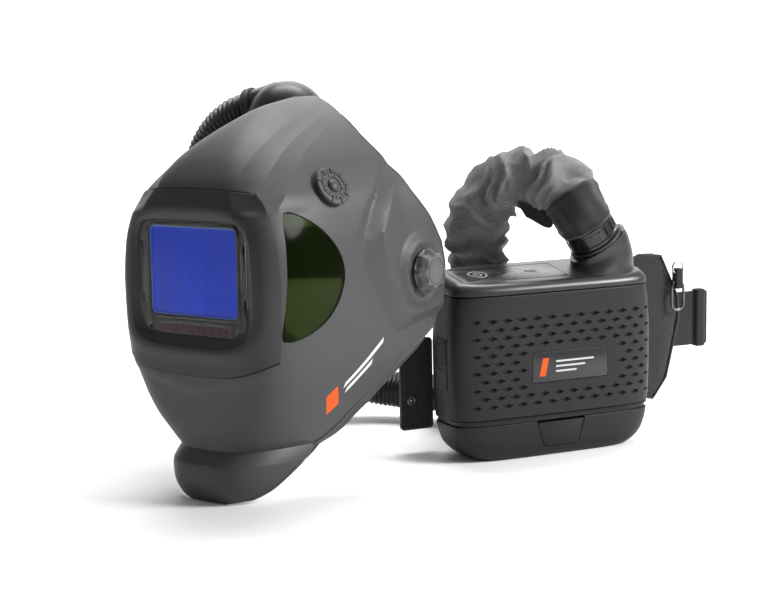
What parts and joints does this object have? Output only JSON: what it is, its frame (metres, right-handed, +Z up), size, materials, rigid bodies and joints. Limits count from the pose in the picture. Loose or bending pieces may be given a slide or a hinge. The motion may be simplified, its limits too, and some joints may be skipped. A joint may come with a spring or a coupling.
{
  "type": "powered air respirator",
  "caption": "Welding helmet with an auto-darkening filter, joined by a sleeved breathing hose to a belt-worn filtering blower.",
  "frame": {"origin": "on the floor under the middle of the box round everything but the breathing hose", "axes": "+Z up; the helmet looks along -Y; +X is the wearer's left; the blower stands to the helmet's left and behind it, turned 60 degrees about +Z"},
  "size_m": [0.4212, 0.5974, 0.3776],
  "materials": {
    "shell": "satin",
    "frame": "satin",
    "knob": "satin",
    "blower_case": "matte",
    "inner_black": "matte",
    "filter_media": "matte",
    "board": "matte",
    "belt_fabric": "matte",
    "sleeve_fabric": "matte",
    "foam": "matte",
    "rubber": "matte",
    "blue_glass": "gloss",
    "clear_glass": "gloss",
    "green_glass": "gloss",
    "solar": "gloss",
    "steel": "satin",
    "dark_steel": "satin"
  },
  "bodies": {
    "respirator": {"helmet_shell": "shell", "front_frame": "frame", "air_manifold": "frame", "control_panel": "frame", "blower_body": "blower_case", "top_cap": "blower_case", "filter_cartridge": "inner_black", "air_diffuser": "inner_black", "fan_scroll": "inner_black", "belt_plate": "inner_black", "particle_filter": "filter_media", "circuit_board": "board", "belt_pad": "belt_fabric", "belt_flap": "belt_fabric", "belt_wing": "belt_fabric", "belt_strap": "belt_fabric", "strap_loop": "belt_fabric", "ring_tab": "belt_fabric", "face_seal": "belt_fabric", "hose_sleeve": "sleeve_fabric", "prefilter": "foam", "hose_tube": "rubber", "seal_ring": "rubber", "filter_gasket": "rubber", "filter_glass": "blue_glass", "cover_lens": "clear_glass", "inner_lens": "clear_glass", "side_window_right": "green_glass", "side_window_left": "green_glass", "solar_cell": "solar", "fan_motor": "steel", "arc_sensor_right": "dark_steel", "arc_sensor_left": "dark_steel", "snap_stud": "dark_steel"},
    "headgear": {"headband": "inner_black", "sweatband": "foam", "crown_strap": "inner_black", "pivot_stud_right": "steel", "pivot_stud_left": "steel"},
    "nape": {"nape_cradle": "inner_black", "nape_pad": "foam"},
    "ratchet": {"ratchet_knob": "knob"},
    "knob_right": {"pivot_knob_right": "knob"},
    "knob_left": {"pivot_knob_left": "knob"},
    "dial": {"shade_dial": "knob"},
    "grind": {"grind_button": "knob"},
    "cuff": {"duct_cuff": "inner_black"},
    "cover": {"filter_cover": "blower_case", "badge_plate": "inner_black"},
    "latch": {"side_latch": "blower_case"},
    "power": {"power_button": "inner_black"},
    "collar": {"locking_collar": "inner_black"},
    "battery": {"battery_pack": "blower_case"},
    "battery_catch": {"battery_latch": "inner_black"},
    "fan": {"fan_impeller": "inner_black"},
    "small_ring": {"split_ring": "steel"},
    "long_ring": {"clip_ring": "dark_steel"}
  },
  "joints": [
    {"name": "headgear_tilt", "type": "hinge", "parent": "respirator", "child": "headgear", "pos_m": [-0.0519, -0.09547, 0.198], "axis": [1, 0, 0], "range_deg": [-5, 70]},
    {"name": "nape_slide", "type": "slide", "parent": "headgear", "child": "nape", "axis": [0, 1, 0], "range_m": [-0.012, 0.012]},
    {"name": "ratchet_turn", "type": "hinge", "parent": "nape", "child": "ratchet", "pos_m": [-0.0519, -0.01747, 0.19], "axis": [0, 1, 0], "range_deg": [-280, 280]},
    {"name": "knob_right_turn", "type": "hinge", "parent": "headgear", "child": "knob_right", "pos_m": [-0.1739, -0.09547, 0.198], "axis": [1, 0, 0], "range_deg": [-180, 180]},
    {"name": "knob_left_turn", "type": "hinge", "parent": "headgear", "child": "knob_left", "pos_m": [0.0701, -0.09547, 0.198], "axis": [1, 0, 0], "range_deg": [-180, 180]},
    {"name": "shade_turn", "type": "hinge", "parent": "respirator", "child": "dial", "pos_m": [0.0331, -0.20147, 0.282], "axis": [0.8625, -0.1204, 0.4915], "range_deg": [0, 280]},
    {"name": "grind_press", "type": "slide", "parent": "dial", "child": "grind", "axis": [-0.8625, 0.1204, -0.4915], "range_m": [0, 0.0014], "stiffness_N_per_m": 300, "springref_m": -0.002},
    {"name": "cuff_swivel", "type": "hinge", "parent": "respirator", "child": "cuff", "pos_m": [-0.1299, -0.09947, 0.35], "axis": [-0.9358, -0.2002, -0.2902], "range_deg": [-90, 90]},
    {"name": "cover_hinge", "type": "hinge", "parent": "respirator", "child": "cover", "pos_m": [0.17311, 0.15479, 0.1], "axis": [0, 0, 1], "range_deg": [0, 100]},
    {"name": "latch_press", "type": "slide", "parent": "respirator", "child": "latch", "axis": [0.5, 0.866, 0], "range_m": [0, 0.002], "stiffness_N_per_m": 600, "springref_m": -0.002},
    {"name": "power_press", "type": "slide", "parent": "respirator", "child": "power", "axis": [-0.161, 0.0929, -0.9826], "range_m": [0, 0.001], "stiffness_N_per_m": 400, "springref_m": -0.002},
    {"name": "collar_twist", "type": "hinge", "parent": "respirator", "child": "collar", "pos_m": [0.1356, 0.11582, 0.207], "axis": [-0.2723, -0.4717, 0.8387], "range_deg": [0, 40]},
    {"name": "battery_slide", "type": "slide", "parent": "respirator", "child": "battery", "axis": [0.866, -0.5, 0], "range_m": [0, 0.06]},
    {"name": "battery_catch_press", "type": "slide", "parent": "battery", "child": "battery_catch", "axis": [-0.866, 0.5, 0], "range_m": [0, 0.0025], "stiffness_N_per_m": 500, "springref_m": -0.003},
    {"name": "fan_spin", "type": "hinge", "parent": "respirator", "child": "fan", "pos_m": [0.06404, 0.03589, 0.098], "axis": [-0.866, 0.5, 0], "continuous": true},
    {"name": "small_ring_swing", "type": "hinge", "parent": "respirator", "child": "small_ring", "pos_m": [0.16576, 0.24505, 0.1625], "axis": [0.5, 0.866, 0], "range_deg": [-12, 60]},
    {"name": "long_ring_swing", "type": "hinge", "parent": "respirator", "child": "long_ring", "pos_m": [0.16576, 0.24505, 0.1535], "axis": [0.5, 0.866, 0], "range_deg": [-60, 5]}
  ],
  "couplings": [
    {"joint": "ratchet_turn", "follows": "nape_slide", "rad_per_m": 392.7}
  ]
}
